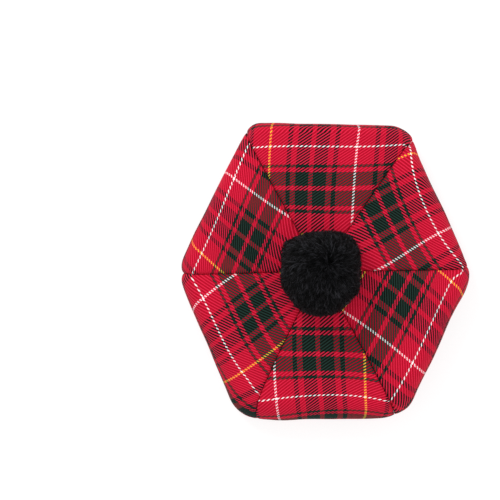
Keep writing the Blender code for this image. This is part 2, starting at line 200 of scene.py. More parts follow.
# How far it reaches in each direction, in degrees and metres
POMPOM_OUTLINE = (
    (0, 0.0413), (20, 0.0446), (35, 0.0501), (50, 0.0543), (65, 0.0508), (80, 0.0485),
    (92, 0.0462), (105, 0.0487), (120, 0.0506), (136, 0.0554), (150, 0.0492), (165, 0.0455),
    (180, 0.0459), (200, 0.0454), (215, 0.0437), (230, 0.0459), (250, 0.0467), (275, 0.0461),
    (290, 0.0452), (305, 0.0430), (320, 0.0423), (335, 0.0444), (350, 0.0428), (360, 0.0413),
)
PARTING = np.array([0.20, 0.38, 0.90])
PARTING = PARTING / np.linalg.norm(PARTING)
PARTING_DEPTH = 0.16
PARTING_WIDTH = 0.20
CORE_SHARE = 0.86
STRANDS = 8900  # in each half of the pompom, above and below its widest part
TUFT_SEED = 5
STRAND_SPREAD = 0.93  # share of the ball, from the top down, that has strands
STRAND_LENGTH = 0.0095
STRAND_ROOT = 0.82  # share of the reach where the strands start
STRAND_CURL = 0.0016
STRAND_SHARES = (0.0, 0.28, 0.55, 0.80, 1.0)
STRAND_SIZES = (0.00040, 0.00042, 0.00037, 0.00027, 0.0)  # half its width at each share
STRAND_SIDES = 3

# Tartan: half of the sett, from the white line to the yellow one, in units of about a millimetre
def half_sett(*widths):
    """Widths from the white line to the middle green, and the same on to the yellow line."""
    mirrored = [*widths, *widths[-2::-1]]
    yarns = ["crimson", "green"] * len(widths)
    return [("white", 1.0), *zip(yarns, mirrored), ("yellow", 1.0)]


WARP_SETT = half_sett(16.4, 5.0, 5.0, 13.1, 5.0)
WEFT_SETT = half_sett(17.3, 3.5, 3.8, 15.0, 4.8)
WEFT_COLOURS = {
    "white": (0.98, 0.96, 0.96),
    "crimson": (0.735, 0.0009, 0.0450),
    "green": (0.0008, 0.0260, 0.0145),
    "yellow": (1.00, 0.60, 0.055),
}
# The warp is the same yarns as the weft. Its crimson and green are darker as painted shade on the
# warp's floats.
WARP_COLOURS_SHADED = {
    **WEFT_COLOURS,
    "crimson": (0.455, 0.0002, 0.0210),
    "green": (0.0001, 0.0055, 0.0022),
}
PAINTED_CROWN_HIGHLIGHT = (0.014, 0.019, 0.022)  # painted highlight: light that the raised floats of the weft catch
HALF_SETT = sum(width for _, width in WARP_SETT)
WARP_THREADS = 78.0  # in half a sett, from the middle of the crown outward
WEFT_THREADS = 112.0  # in half a sett, along the crown's edge
TWILL_REPEAT = 4.0  # threads before the crossings start again
WARP_SHARE = 0.94  # half the length of a warp float, in threads
WEFT_SHARE = 1.06  # and of a weft float
FLOAT_SLANT = 0.7  # how much the ends of the floats lean along the twill
YARN_BELOW_AND_SHADE = 0.75  # how much the yarn below shows where the one above ends; multiplied in, it also paints shade into the sunk ends
SHADE = (0.32, 0.82)  # how a float's crown lightens it, and how light its ends are
SPIN = 0.10  # unevenness from one thread to the next
SLUB = 0.22  # and along a thread
WORN = 0.20  # and from one patch of the cloth to another
UNIT = 0.00107  # metres of cloth in a unit of the sett

# Darkest and lightest tones of each black piece, and the colour of the tartan's loose fibres
BAND_TONES = ((0.0040, 0.0038, 0.0040, 1.0), (0.0180, 0.0165, 0.0165, 1.0))
LINING_TONES = ((0.0050, 0.0050, 0.0054, 1.0), (0.0170, 0.0170, 0.0178, 1.0))
# the pompom's core is darker than its yarn: painted shade deep in the ball
DEPTH_SHADE_TONES = ((0.0006, 0.0006, 0.0008, 1.0), (0.0020, 0.0020, 0.0024, 1.0))
YARN_TONES = ((0.0003, 0.0003, 0.0004, 1.0), (0.0370, 0.0370, 0.0430, 1.0))
LOOSE_FIBRE = (0.75, 0.42, 0.42, 1.0)

# Studio
WHITE = (1.0, 1.0, 1.0, 1.0)
FLOOR_SIZE = 4.0
FLOOR_LEVEL = -0.0002
FLOOR_CORNERS = ((-1, -1), (1, -1), (1, 1), (-1, 1))
FLOOR_COLOUR = (0.30, 0.30, 0.30, 1.0)
FLOOR_GLOW = 0.755
ROOM_LIGHT = 0.75
LAMPS_AIM = Vector((0, 0, 0.04))
CAMERA_DISTANCE = 4.0
CAMERA_PLACE = (-0.0796, 0.0224)
CAMERA_FOCUS = 0.045  # height at which the photo's pixels have this size
PIXEL_SIZE = 0.001055
PHOTO_PIXELS = 500

# How the cloth lies on each panel: the way that the panel faces, the units drawn over the roll of
# the edge, and its places across the warp and the weft in units, as a cubic of the place on the
# panel. With a outward from 90 mm and s sideways, both in tenths of a metre, the terms are
# 1, a, s, ss, as, aa, sss, ass, aas and aaa. No panel is sewn in quite square.
DRAPES = table(
    "facing over_roll warp_place weft_place",
    (26.5, 0.0,
     (-20.0, 6.3, 88.8, -10.0, 10.7, 2.4, -1.4, 4.7, -2.0, -20.0),
     (-41.1, 108.5, -1.1, -10.3, 2.5, 18.3, -0.6, -30.5, 1.0, -50.6)),
    (89.4, -1.0,
     (-31.7, -4.1, 94.4, -5.8, -5.3, -4.8, 3.0, 10.2, 4.0, -3.0),
     (-39.8, 98.0, -0.1, -3.2, -3.2, 7.7, -5.0, 7.0, 10.1, -24.0)),
    (158.6, 1.0,
     (-46.7, -31.0, 96.7, -0.6, 8.9, -10.8, -7.4, 16.1, -3.1, 1.6),
     (-35.6, 116.5, 4.8, 0.0, -0.2, 10.0, 2.3, -14.1, -7.4, -68.9)),
    (219.2, 0.0,
     (-53.9, -2.6, 102.8, 7.2, -3.3, -1.3, -30.8, -0.4, 27.0, -0.7),
     (-37.2, 99.7, 20.4, 14.3, 1.8, 2.1, -18.4, 8.7, -10.0, -9.1)),
    (270.5, 1.6,
     (-46.1, 3.2, 92.5, 6.5, -0.2, 5.4, -10.9, -14.9, 7.2, 0.3),
     (-40.6, 93.2, 1.4, -4.5, -2.7, 18.3, 9.1, -25.4, -16.5, -4.5)),
    (-22.5, 1.4,
     (-35.9, -25.7, 88.0, -4.7, 1.6, -10.2, -1.2, 11.8, 1.5, 1.3),
     (-39.1, 100.1, 9.1, -1.6, -10.3, 2.8, 3.9, 3.7, -10.6, -10.7)),
)
DRAPE_MIDDLE = 0.090
DRAPE_SPAN = 0.100
DRAPE_END = 0.060  # further out than this from its middle the drape is straight

# Places where a panel's cloth is pulled out or in by some units
TUGS = table(
    "panel x y wide deep units",
    (5, 0.1480, 0.0020, 0.0120, 0.0120, -10.0), (4, 0.0330, -0.1570, 0.0450, 0.0120, 6.0),
    (3, -0.0670, -0.1300, 0.0150, 0.0150, -4.0), (2, -0.1210, 0.1080, 0.0180, 0.0180, 1.6),
)


def turn(degrees):
    return degrees * math.pi / 180


def corner_arc(index):
    """A rounded corner: its point, its arc's centre, and how much the arc takes off a side."""
    near = (index, index - 1, (index + 1) % len(CORNERS))
    here, before, after = (Vector(CORNERS[i][:2]) - Vector(CENTRE) for i in near)
    back = (before - here).normalized()
    forward = (after - here).normalized()
    half = math.acos(max(-1.0, min(1.0, back.dot(forward)))) / 2
    rounding = CORNERS[index].rounding
    centre = here + (back + forward).normalized() * rounding / math.sin(half)
    return here, centre, rounding / math.tan(half)


def edge_reach(angle, arcs):
    """How far the soft hexagon reaches from the crown's centre in one direction."""
    ray = Vector((math.cos(angle), math.sin(angle)))
    for index, (start, _, _) in enumerate(arcs):
        following = (index + 1) % len(arcs)
        end = arcs[following][0]
        side = end - start
        cross = ray.x * side.y - ray.y * side.x
        reach = (start.x * side.y - start.y * side.x) / cross if abs(cross) > 1e-12 else -1.0
        along = (ray * reach - start).dot(side) / side.length
        if reach > 0 and 0 <= along <= side.length:
            for corner, distance in ((index, along), (following, side.length - along)):
                _, middle, cut = arcs[corner]
                if distance < cut:
                    level = ray.dot(middle)
                    rest = CORNERS[corner].rounding ** 2 - middle.length_squared
                    return level + math.sqrt(level * level + rest)
            return reach
    raise ValueError("the hexagon has no side in this direction")


TABLE_ANGLES = np.linspace(0.0, math.tau, 1441)
CORNER_ARCS = [corner_arc(number) for number in range(len(CORNERS))]
TABLE_REACH = np.array([edge_reach(a % math.tau, CORNER_ARCS) for a in TABLE_ANGLES])


def edge_radius(angle):
    return np.interp(angle % math.tau, TABLE_ANGLES, TABLE_REACH)


def edge_size(angle, column):
    """One of the edge's sizes in every direction, eased between the table's rows."""
    directions = np.array([turn(row.direction) for row in EDGES] + [math.tau])
    sizes = np.array([getattr(row, column) for row in EDGES] + [getattr(EDGES[0], column)])
    angle = angle % math.tau
    after = np.clip(np.searchsorted(directions, angle, side="right"), 1, len(EDGES))
    share = (angle - directions[after - 1]) / (directions[after] - directions[after - 1])
    share = (1 - np.cos(np.pi * share)) / 2
    return sizes[after - 1] + (sizes[after] - sizes[after - 1]) * share


def between(a, b):
    """The turn from a to b, between minus and plus half a turn."""
    return (b - a + np.pi) % math.tau - np.pi


def wave(ripples, angle):
    return sum(row.size * np.sin(row.count * angle + turn(row.turn)) for row in ripples)


def soft_noise(points, scale, size, seed):
    """Smooth noise at each point of an array, between about minus and plus its size."""
    flat = points.reshape(-1, 3) / scale + seed
    values = np.array([noise.noise(Vector(p)) for p in flat])
    return size * values.reshape(points.shape[:-1])


def through_points(a, b, c, d, t):
    """A place on the smooth curve from b to c, with a before them and d after them."""
    bend = 2 * a - 5 * b + 4 * c - d
    sway = 3 * b - a - 3 * c + d
    return 0.5 * (2 * b + (c - a) * t + bend * t * t + sway * t ** 3)


def pulled_in(distance, depth, width):
    return depth * np.exp(-distance / width)


def place(angle, radius, height):
    x = CENTRE[0] + radius * np.cos(angle)
    y = CENTRE[1] + radius * np.sin(angle)
    return np.stack(np.broadcast_arrays(x, y, height), axis=-1)


def round_axis(angle, height):
    """Points round an upright axis, at a distance of one from it."""
    return np.stack(np.broadcast_arrays(np.cos(angle), np.sin(angle), height), axis=-1)


def steps_past(middle, before, after):
    """Steps from zero to one in a column, with so many rows before and after the middle one."""
    parts = [np.linspace(0.0, middle, before), np.linspace(middle, 1.0, after)[1:]]
    return np.concatenate(parts)[:, None]


def way_along(radius, height):
    """How long the cloth is from its first row to each row."""
    run = np.hypot(np.diff(radius, axis=0), np.diff(height, axis=0))
    return np.concatenate([np.zeros((1, run.shape[1])), np.cumsum(run, axis=0)])


def sides_of_cloth(angle, radius, height, normal, relief, thickness):
    """The outer and inner side of a cloth that stands off its plain profile by its relief."""
    out, up = normal
    return [
        place(angle, radius + out * off, height + up * off)
        for off in (relief, relief - thickness)
    ]


def crown_profile(angle, step):
    """The crown's outer surface as radius and height, from the tip to the sewn edge."""
    edge = edge_radius(angle)
    roll = edge_size(angle, "roll")
    shoulder = edge_size(angle, "shoulder")
    sewn = edge_size(angle, "sewn")
    share = np.minimum(step / SHOULDER_STEP, 1.0)
    radius = PANEL_TIP + (edge - roll - PANEL_TIP) * share
    dimple = DIMPLE_DEPTH * np.exp(-(radius / DIMPLE_RADIUS) ** 2)
    height = shoulder + (CROWN_TOP - shoulder) * (1 - share * share) - dimple
    over = np.pi / 2 * np.maximum(0.0, step - SHOULDER_STEP) / (1 - SHOULDER_STEP)
    rolled = step > SHOULDER_STEP
    radius = np.where(rolled, edge - roll * (1 - np.sin(over)), radius)
    height = np.where(rolled, sewn + (shoulder - sewn) * np.cos(over), height)
    return radius, height


def strip_profile(angle, step):
    """The underside's plain surface as radius and height, from the edge to the band."""
    edge = edge_radius(angle)
    start = edge_size(angle, "sewn") - EDGE_GAP
    over = np.pi / 2 * np.minimum(step / TURN_SHARE, 1.0)
    share = np.maximum(0.0, (step - TURN_SHARE) / (1 - TURN_SHARE))
    inner = BAND_RADIUS + CLEARANCE + wave(BAND_RIPPLES, angle)
    rise = share * share * (3 - 2 * share)
    low = start - TURN_DEPTH
    turning = step <= TURN_SHARE
    turned = edge - TURN_WIDTH * (1 - np.cos(over))
    inward = edge - TURN_WIDTH + (inner - edge + TURN_WIDTH) * share
    sunk = start - TURN_DEPTH * np.sin(over)
    raised = low + (BAND_SEAM_HEIGHT - low) * rise
    return np.where(turning, turned, inward), np.where(turning, sunk, raised)


def profile_normal(profile, angle, step):
    """The outward direction across a profile, from two points close to this one."""
    close = 0.004
    before = profile(angle, np.maximum(0.0, step - close))
    after = profile(angle, np.minimum(1.0, step + close))
    run = np.stack([after[0] - before[0], after[1] - before[1]])
    run = run / np.linalg.norm(run, axis=0)
    return -run[1], run[0]


def add_object(name, data, finish):
    item = bpy.data.objects.new(name, data)
    bpy.context.scene.collection.objects.link(item)
    item.data.materials.append(finish)
    return item


def add_map(data, name, places):
    layer = data.uv_layers.new(name=name)
    layer.data.foreach_set("uv", places.astype(np.float32).ravel())


def sheet_object(name, sides, uv, finish, onward=None):
    """A walled sheet from the grids of its sides. A closed one says how far its map runs on."""
    rows, columns = uv.shape[:2]
    points = np.concatenate([side.reshape(-1, 3) for side in sides])
    closed = onward is not None
    if closed:
        uv = np.concatenate([uv, uv[:, :1] + onward], axis=1)
    across = columns if closed else columns - 1
    below = rows * columns
    faces = []
    corners = []

    def add(quad, cells, flip=False):
        faces.append(quad[::-1] if flip else quad)
        corners.extend(cells[::-1] if flip else cells)

    for i in range(rows - 1):
        for j in range(across):
            k = (j + 1) % columns
            cells = [(i, j), (i, j + 1), (i + 1, j + 1), (i + 1, j)]
            here, next_row = i * columns, (i + 1) * columns
            quad = [here + j, here + k, next_row + k, next_row + j]
            add(quad, cells)
            add([below + v for v in quad], cells, True)
    for i in (0, rows - 1):
        for j in range(across):
            k = (j + 1) % columns
            here = i * columns
            quad = [here + j, below + here + j, below + here + k, here + k]
            cells = [(i, j), (i, j), (i, j + 1), (i, j + 1)]
            add(quad, cells, i != 0)
    if not closed:
        for j in (0, columns - 1):
            for i in range(rows - 1):
                here, next_row = i * columns + j, (i + 1) * columns + j
                quad = [here, next_row, below + next_row, below + here]
                cells = [(i, j), (i + 1, j), (i + 1, j), (i, j)]
                add(quad, cells, j != 0)
    data = bpy.data.meshes.new(name)
    data.from_pydata(points.tolist(), [], faces)
    cells = np.array(corners)
    add_map(data, "cloth", uv[cells[:, 0], cells[:, 1]])
    data.shade_smooth()
    data.set_sharp_from_angle(angle=turn(60))
    return add_object(name, data, finish)


def set_inputs(node, values):
    for name, value in values.items():
        node.inputs[name].default_value = value


def new_tree(name, inputs, outputs):
    """A shader node group. Its inputs are numbers with a first value, or vectors with None."""
    tree = bpy.data.node_groups.new(name, "ShaderNodeTree")
    for socket, value in inputs.items():
        kind = "NodeSocketVector" if value is None else "NodeSocketFloat"
        made = tree.interface.new_socket(name=socket, in_out="INPUT", socket_type=kind)
        if value is not None:
            made.default_value = value
    for socket, kind in outputs.items():
        tree.interface.new_socket(name=socket, in_out="OUTPUT", socket_type=kind)
    return tree


class Wiring:
    """Adds nodes to a tree and links them, a column at a time."""

    def __init__(self, tree):
        self.tree = tree
        self.count = 0

    def node(self, kind, values=None, **settings):
        made = self.tree.nodes.new(kind)
        made.location = (self.count % 12 * 190, -(self.count // 12) * 260)
        self.count += 1
        for key, value in settings.items():
            setattr(made, key, value)
        for socket, value in (values or {}).items():
            if isinstance(value, bpy.types.NodeSocket):
                self.tree.links.new(value, made.inputs[socket])
            else:
                made.inputs[socket].default_value = value
        return made

    def math(self, operation, *values):
        made = self.node("ShaderNodeMath", dict(enumerate(values)), operation=operation)
        return made.outputs[0]

    def times(self, a, b):
        return self.math("MULTIPLY", a, b)

    def minus(self, a, b):
        return self.math("SUBTRACT", a, b)

    def vector(self, operation, *values):
        made = self.node("ShaderNodeVectorMath", dict(enumerate(values)), operation=operation)
        return made.outputs[0]

    def scaled(self, colour, level):
        values = {0: colour, "Scale": level}
        return self.node("ShaderNodeVectorMath", values, operation="SCALE").outputs[0]

    def mix(self, factor, a, b, blend="MIX"):
        values = {0: factor, 6: a, 7: b}
        return self.node("ShaderNodeMix", values, data_type="RGBA", blend_type=blend).outputs[2]

    def steps(self, value, stops):
        """A colour for each stretch of the values from zero to one."""
        made = self.node("ShaderNodeValToRGB", {"Fac": value})
        made.color_ramp.interpolation = "CONSTANT"
        elements = made.color_ramp.elements
        elements[0].position = stops[0][0]
        elements[0].color = (*stops[0][1], 1.0)
        elements[1].position = stops[1][0]
        elements[1].color = (*stops[1][1], 1.0)
        for position, colour in stops[2:]:
            element = elements.new(position)
            element.color = (*colour, 1.0)
        return made.outputs["Color"]

    def noise(self, vector, scale, detail=2.0, roughness=0.5):
        values = {"Vector": vector, "Scale": scale, "Detail": detail, "Roughness": roughness}
        return self.node("ShaderNodeTexNoise", values).outputs["Fac"]


def tartan_group():
    """Coloured twill: floats of weft and warp, each crossing moved along by one thread."""
    outputs = {"Colour": "NodeSocketColor", "Height": "NodeSocketFloat"}
    tree = new_tree("tartan_twill", {"Cloth": None, "Wear": 0.5}, outputs)
    w = Wiring(tree)
    start = w.node("NodeGroupInput")
    split = w.node("ShaderNodeSeparateXYZ", {0: start.outputs["Cloth"]})

    def threads(coordinate, count, sett, yarns):
        """The thread's place and number, how far across it, and its yarn's colour."""
        along = w.times(coordinate, count)
        number = w.math("FLOOR", along)
        middle = w.math("DIVIDE", w.math("ADD", number, 0.5), count)
        folded = w.math("PINGPONG", middle, 1.0)
        stops = []
        position = 0.0
        for yarn, width in sett:
            stops.append((position / HALF_SETT, yarns[yarn]))
            position += width
        return along, number, w.math("FRACT", along), w.steps(folded, stops)

    warp_at, warp, warp_across, warp_colour = threads(
        split.outputs[0], WARP_THREADS, WARP_SETT, WARP_COLOURS_SHADED)
    _, weft, weft_across, weft_colour = threads(
        split.outputs[1], WEFT_THREADS, WEFT_SETT, WEFT_COLOURS)
    slant = w.times(w.minus(weft_across, 0.5), FLOAT_SLANT)
    crossing = w.minus(w.minus(warp_at, weft), slant)

    def from_middle(value, middle, half):
        """How far along its float a place is, from 0 at the middle to 1 at its ends."""
        moved = w.math("ADD", value, TWILL_REPEAT / 2 - middle)
        around = w.math("FLOORED_MODULO", moved, TWILL_REPEAT)
        away = w.math("ABSOLUTE", w.minus(around, TWILL_REPEAT / 2))
        return w.math("DIVIDE", away, half)

    def rounded(value, power, depth):
        return w.minus(1.0, w.times(w.math("POWER", value, power), depth))

    def off_middle(across):
        return w.times(w.math("ABSOLUTE", w.minus(across, 0.5)), 2.0)

    warp_away = from_middle(crossing, TWILL_REPEAT / 4, WARP_SHARE)
    weft_away = w.math("MINIMUM", from_middle(crossing, TWILL_REPEAT * 3 / 4, WEFT_SHARE), 1.0)
    shows = w.math("LESS_THAN", warp_away, 1.0)
    warp_length = rounded(w.math("MINIMUM", warp_away, 1.0), 2.0, 1.0)
    warp_crown = w.times(warp_length, rounded(off_middle(warp_across), 2.0, 0.6))
    weft_length = rounded(weft_away, 4.0, 1.0)
    weft_crown = w.times(weft_length, rounded(off_middle(weft_across), 2.0, 0.7))

    def choose(weft_value, warp_value):
        values = {0: shows, 2: weft_value, 3: warp_value}
        return w.node("ShaderNodeMix", values, data_type="FLOAT").outputs[0]

    crown = choose(weft_crown, warp_crown)
    top = w.mix(shows, weft_colour, warp_colour)
    below = w.mix(shows, warp_colour, weft_colour)
    sunk = w.minus(1.0, crown)
    # the yarn below shows through where the floats sink, and its multiply paints shade there
    with_yarn_below_and_shade = w.mix(w.times(sunk, YARN_BELOW_AND_SHADE), top, below, "MULTIPLY")
    shade = w.math("MULTIPLY_ADD", crown, *SHADE)
    # uneven spinning, and patches of wear
    warp_spin, weft_spin = (
        w.node("ShaderNodeTexWhiteNoise", {"W": seed}, noise_dimensions="1D").outputs["Value"]
        for seed in (warp, w.math("ADD", weft, 0.37)))
    slub = w.noise(w.vector("MULTIPLY", start.outputs["Cloth"], (60.0, 60.0, 1.0)), 1.0, 2.0)
    spin = w.times(w.minus(choose(weft_spin, warp_spin), 0.5), SPIN)
    uneven = w.math("MULTIPLY_ADD", w.minus(slub, 0.5), SLUB, spin)
    patches = w.minus(w.noise(start.outputs["Cloth"], 2.2, 3.0), 0.5)
    worn = w.times(patches, w.times(start.outputs["Wear"], WORN))
    level = w.times(shade, w.math("ADD", 1.0, w.math("ADD", uneven, worn)))
    # painted highlight along the crowns of the weft's raised floats
    painted_highlight_mask = w.times(weft_crown, w.minus(1.0, shows))
    finished = w.vector("ADD", w.scaled(with_yarn_below_and_shade, level), w.scaled(PAINTED_CROWN_HIGHLIGHT, painted_highlight_mask))
    weft_height = w.math("MULTIPLY_ADD", weft_crown, 0.6, 0.4)
    warp_height = w.math("MULTIPLY_ADD", warp_crown, 0.5, 0.15)
    end = w.node("NodeGroupOutput")
    tree.links.new(finished, end.inputs["Colour"])
    tree.links.new(choose(weft_height, warp_height), end.inputs["Height"])
    return tree


def fuzz_group():
    """Fine loose fibres: a soft lightening mask and a small relief, from places on the object."""
    outputs = {"Mask": "NodeSocketFloat", "Height": "NodeSocketFloat"}
    tree = new_tree("loose_fibres", {"Place": None, "Fineness": 900.0}, outputs)
    w = Wiring(tree)
    start = w.node("NodeGroupInput")
    place_out = start.outputs["Place"]
    fine = w.noise(place_out, start.outputs["Fineness"], 3.0, 0.7)
    broad = w.noise(place_out, 45.0, 2.0)
    mask = w.times(fine, w.math("ADD", broad, 0.3))
    end = w.node("NodeGroupOutput")
    tree.links.new(mask, end.inputs["Mask"])
    tree.links.new(fine, end.inputs["Height"])
    return tree


class Finish(Wiring):
    """A material whose shader has its plain numbers set, and the nodes that feed it."""

    def __init__(self, name, roughness, sheen, sheen_roughness, specular):
        self.material = bpy.data.materials.new(name)
        self.material.use_nodes = True
        super().__init__(self.material.node_tree)
        self.shader = self.tree.nodes["Principled BSDF"]
        set_inputs(self.shader, {
            "Roughness": roughness,
            "Sheen Weight": sheen,
            "Sheen Roughness": sheen_roughness,
            "Specular IOR Level": specular,
        })
        self.place = self.node("ShaderNodeTexCoord").outputs["Object"]

    def group(self, tree, values):
        return self.node("ShaderNodeGroup", values, node_tree=tree).outputs

    def show(self, colour, height, distance):
        """Shows the colour and the relief, and gives the material back."""
        values = {"Height": height, "Distance": distance, "Strength": 1.0}
        normal = self.node("ShaderNodeBump", values).outputs["Normal"]
        self.tree.links.new(colour, self.shader.inputs["Base Color"])
        self.tree.links.new(normal, self.shader.inputs["Normal"])
        return self.material


def tartan_material(twill, fibres):
    """Wool tartan in even twill, with loose fibres on it."""
    w = Finish("tartan_wool", roughness=0.85, sheen=0.02, sheen_roughness=0.5, specular=0.05)
    cloth = w.node("ShaderNodeUVMap", uv_map="cloth").outputs["UV"]
    weave = w.group(twill, {"Cloth": cloth, "Wear": 0.5})
    fuzz = w.group(fibres, {"Place": w.place, "Fineness": 1400.0})
    lightened = w.mix(w.times(fuzz["Mask"], 0.012), weave["Colour"], LOOSE_FIBRE)
    height = w.math("ADD", weave["Height"], w.times(fuzz["Height"], 0.4))
    return w.show(lightened, height, 0.00022)


def band_material(fibres):
    """Brushed black cloth with loose fibres."""
    w = Finish("brushed_band", roughness=0.95, sheen=0.05, sheen_roughness=0.6, specular=0.06)
    fuzz = w.group(fibres, {"Place": w.place, "Fineness": 1100.0})
    return w.show(w.mix(fuzz["Mask"], *BAND_TONES), fuzz["Height"], 0.0005)


def lining_material():
    """Thin black lining in plain weave, with a soft sheen."""
    w = Finish("woven_lining", roughness=0.48, sheen=0.04, sheen_roughness=0.4, specular=0.30)
    thread = {"Vector": w.place, "Scale": 520.0, "Distortion": 0.6}
    one, two = (w.node("ShaderNodeTexWave", thread, bands_direction=axis) for axis in "XY")
    weave = w.times(one.outputs["Fac"], two.outputs["Fac"])
    patches = w.noise(w.place, 30.0, 3.0)
    level = w.math("MULTIPLY_ADD", patches, 0.6, w.times(weave, 0.4))
    dull = w.math("MULTIPLY_ADD", patches, 0.2, 0.38)
    w.tree.links.new(dull, w.shader.inputs["Roughness"])
    return w.show(w.mix(level, *LINING_TONES), weave, 0.00012)


def yarn_material(name, tones, strands):
    """Black pompom yarn: each strand a little different, and darker towards its root as painted
    shade.
    """
    w = Finish(name, roughness=0.50, sheen=0.0, sheen_roughness=0.4, specular=0.10)
    fibres = w.noise(w.place, 900.0, 3.0, 0.6)
    tufts = w.noise(w.place, 75.0, 2.0)
    level = w.times(fibres, w.math("MULTIPLY_ADD", tufts, 2.4, -0.3))
    if strands:
        strand = w.node("ShaderNodeUVMap", uv_map="strand").outputs["UV"]
        own = w.node("ShaderNodeSeparateXYZ", {0: strand})
        tone = w.math("MULTIPLY_ADD", w.math("POWER", own.outputs[0], 5.0), 4.2, 0.02)
        # painted shade: darker towards the root, deep in the ball
        depth = w.math("MULTIPLY_ADD", w.math("POWER", own.outputs[1], 1.3), 1.1, 0.10)
        level = w.times(level, w.times(tone, depth))
    return w.show(w.mix(level, *tones), fibres, 0.0005)


def panel_map(drape, points):
    """Where on the cloth each point of a panel lies, in half setts, from its place from above."""
    facing = turn(drape.facing)
    x = points[..., 0] - CENTRE[0]
    y = points[..., 1] - CENTRE[1]
    a = (x * math.cos(facing) + y * math.sin(facing) - DRAPE_MIDDLE) / DRAPE_SPAN
    s = (x * math.sin(facing) - y * math.cos(facing)) / DRAPE_SPAN
    hanging = np.maximum(0.0, a - DRAPE_END / DRAPE_SPAN)
    a = a - hanging
    terms = (a ** 0, a, s, s * s, a * s, a * a, s ** 3, a * s * s, a * a * s, a ** 3)
    terms = np.stack(terms, axis=-1)
    across = terms @ np.array(drape.warp_place)
    along = terms @ np.array(drape.weft_place)
    return np.stack([across, along + hanging * DRAPE_SPAN / UNIT], axis=-1) / HALF_SETT


def dents(angle, radius):
    depth = 0.0
    for row in DENTS:
        x = radius * np.cos(angle) - row.distance * math.cos(turn(row.direction))
        y = radius * np.sin(angle) - row.distance * math.sin(turn(row.direction))
        depth = depth + row.depth * np.exp(-(x * x + y * y) / row.width ** 2)
    return depth


def swells(rows, angle):
    """How far the rows of a table stand out in a direction, each fading to its sides."""
    size = 0.0
    for row in rows:
        away = between(turn(row.direction), angle) / turn(row.width)
        size = size + row.size * np.exp(-away * away)
    return size


def make_panel(index, finish):
    """A wedge of the crown, pulled in at its seams and puckered along its stitching."""
    step = steps_past(SHOULDER_STEP, PANEL_FLAT_ROWS, PANEL_ROLL_ROWS)
    even = np.linspace(-1.0, 1.0, PANEL_COLUMNS)[None, :]
    crowded = even * (1 - SEAM_CROWDING) + SEAM_CROWDING * np.sin(even * np.pi / 2)
    across = (crowded + 1) / 2
    share = step * step
    first = turn(SEAMS[index].tip + (SEAMS[index].edge - SEAMS[index].tip) * share)
    other = SEAMS[(index + 1) % len(SEAMS)]
    last = turn(other.tip + (other.edge - other.tip) * share)
    span = (last - first) % math.tau
    radius = crown_profile(first + span * across, step)[0]
    inset = SEAM_GAP / 2 / radius
    angle = first + inset + (span - 2 * inset) * across
    step = step + 0 * angle
    radius, height = crown_profile(angle, step)
    normal = profile_normal(crown_profile, angle, step)
    distance = radius * span * np.minimum(across, 1 - across)
    arch = np.sin(np.pi * (PUFF_START + (PUFF_END - PUFF_START) * step))
    swell = PUFF * arch * (1 - np.abs(2 * across - 1) ** PUFF_FLATNESS)
    rolled = np.maximum(0.0, (step - SHOULDER_STEP) / (1 - SHOULDER_STEP))
    pull = pulled_in(distance, *STITCHING) + pulled_in(distance, *DRAWN_IN)
    relief = swell - np.minimum(1.0, step / SEAM_START) * (1 - ROLL_EASE * rolled) * pull
    for seam, nearby in ((index, across), ((index + 1) % len(SEAMS), 1 - across)):
        from_seam = radius * span * nearby
        relief = relief - pulled_in(from_seam, NOTCHES.get(seam, 0.0) * rolled, NOTCH_WIDTH)
        tuck = TUCKS.get(seam, 0.0) * 4 * rolled * (1 - rolled)
        relief = relief - pulled_in(from_seam, tuck, TUCK_WIDTH)
    relief = relief - dents(angle, radius) + (EDGE_FULLNESS + swells(BULGES, angle)) * rolled
    plain = place(angle, radius, height)
    fade = np.exp(-distance / PUCKER_REACH) * np.minimum(1.0, distance / PUCKER_START)
    relief = relief + soft_noise(plain, scale=0.0065, size=0.0007, seed=3.1 + index) * fade
    relief = relief + soft_noise(plain, scale=0.034, size=0.0009, seed=11.7)
    run = way_along(radius, height)
    shoulder = PANEL_FLAT_ROWS - 1
    hung = radius[shoulder] + run - run[shoulder]
    unrolled = np.where(step > SHOULDER_STEP, hung, radius)
    uv = panel_map(DRAPES[index], place(angle, unrolled, height))
    uv[..., 1] += DRAPES[index].over_roll * rolled ** 2 / HALF_SETT
    for row in TUGS:
        if row.panel == index:
            sideways = (plain[..., 0] - row.x) / row.wide
            onward = (plain[..., 1] - row.y) / row.deep
            pulled = np.exp(-(sideways * sideways + onward * onward))
            uv[..., 1] += row.units * pulled / HALF_SETT
    sides = sides_of_cloth(angle, radius, height, normal, relief, CLOTH)
    item = sheet_object(f"tartan_panel_{index + 1}", sides, uv, finish)
    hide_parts(f"top_panel_{index + 1}")
    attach(item, "root")


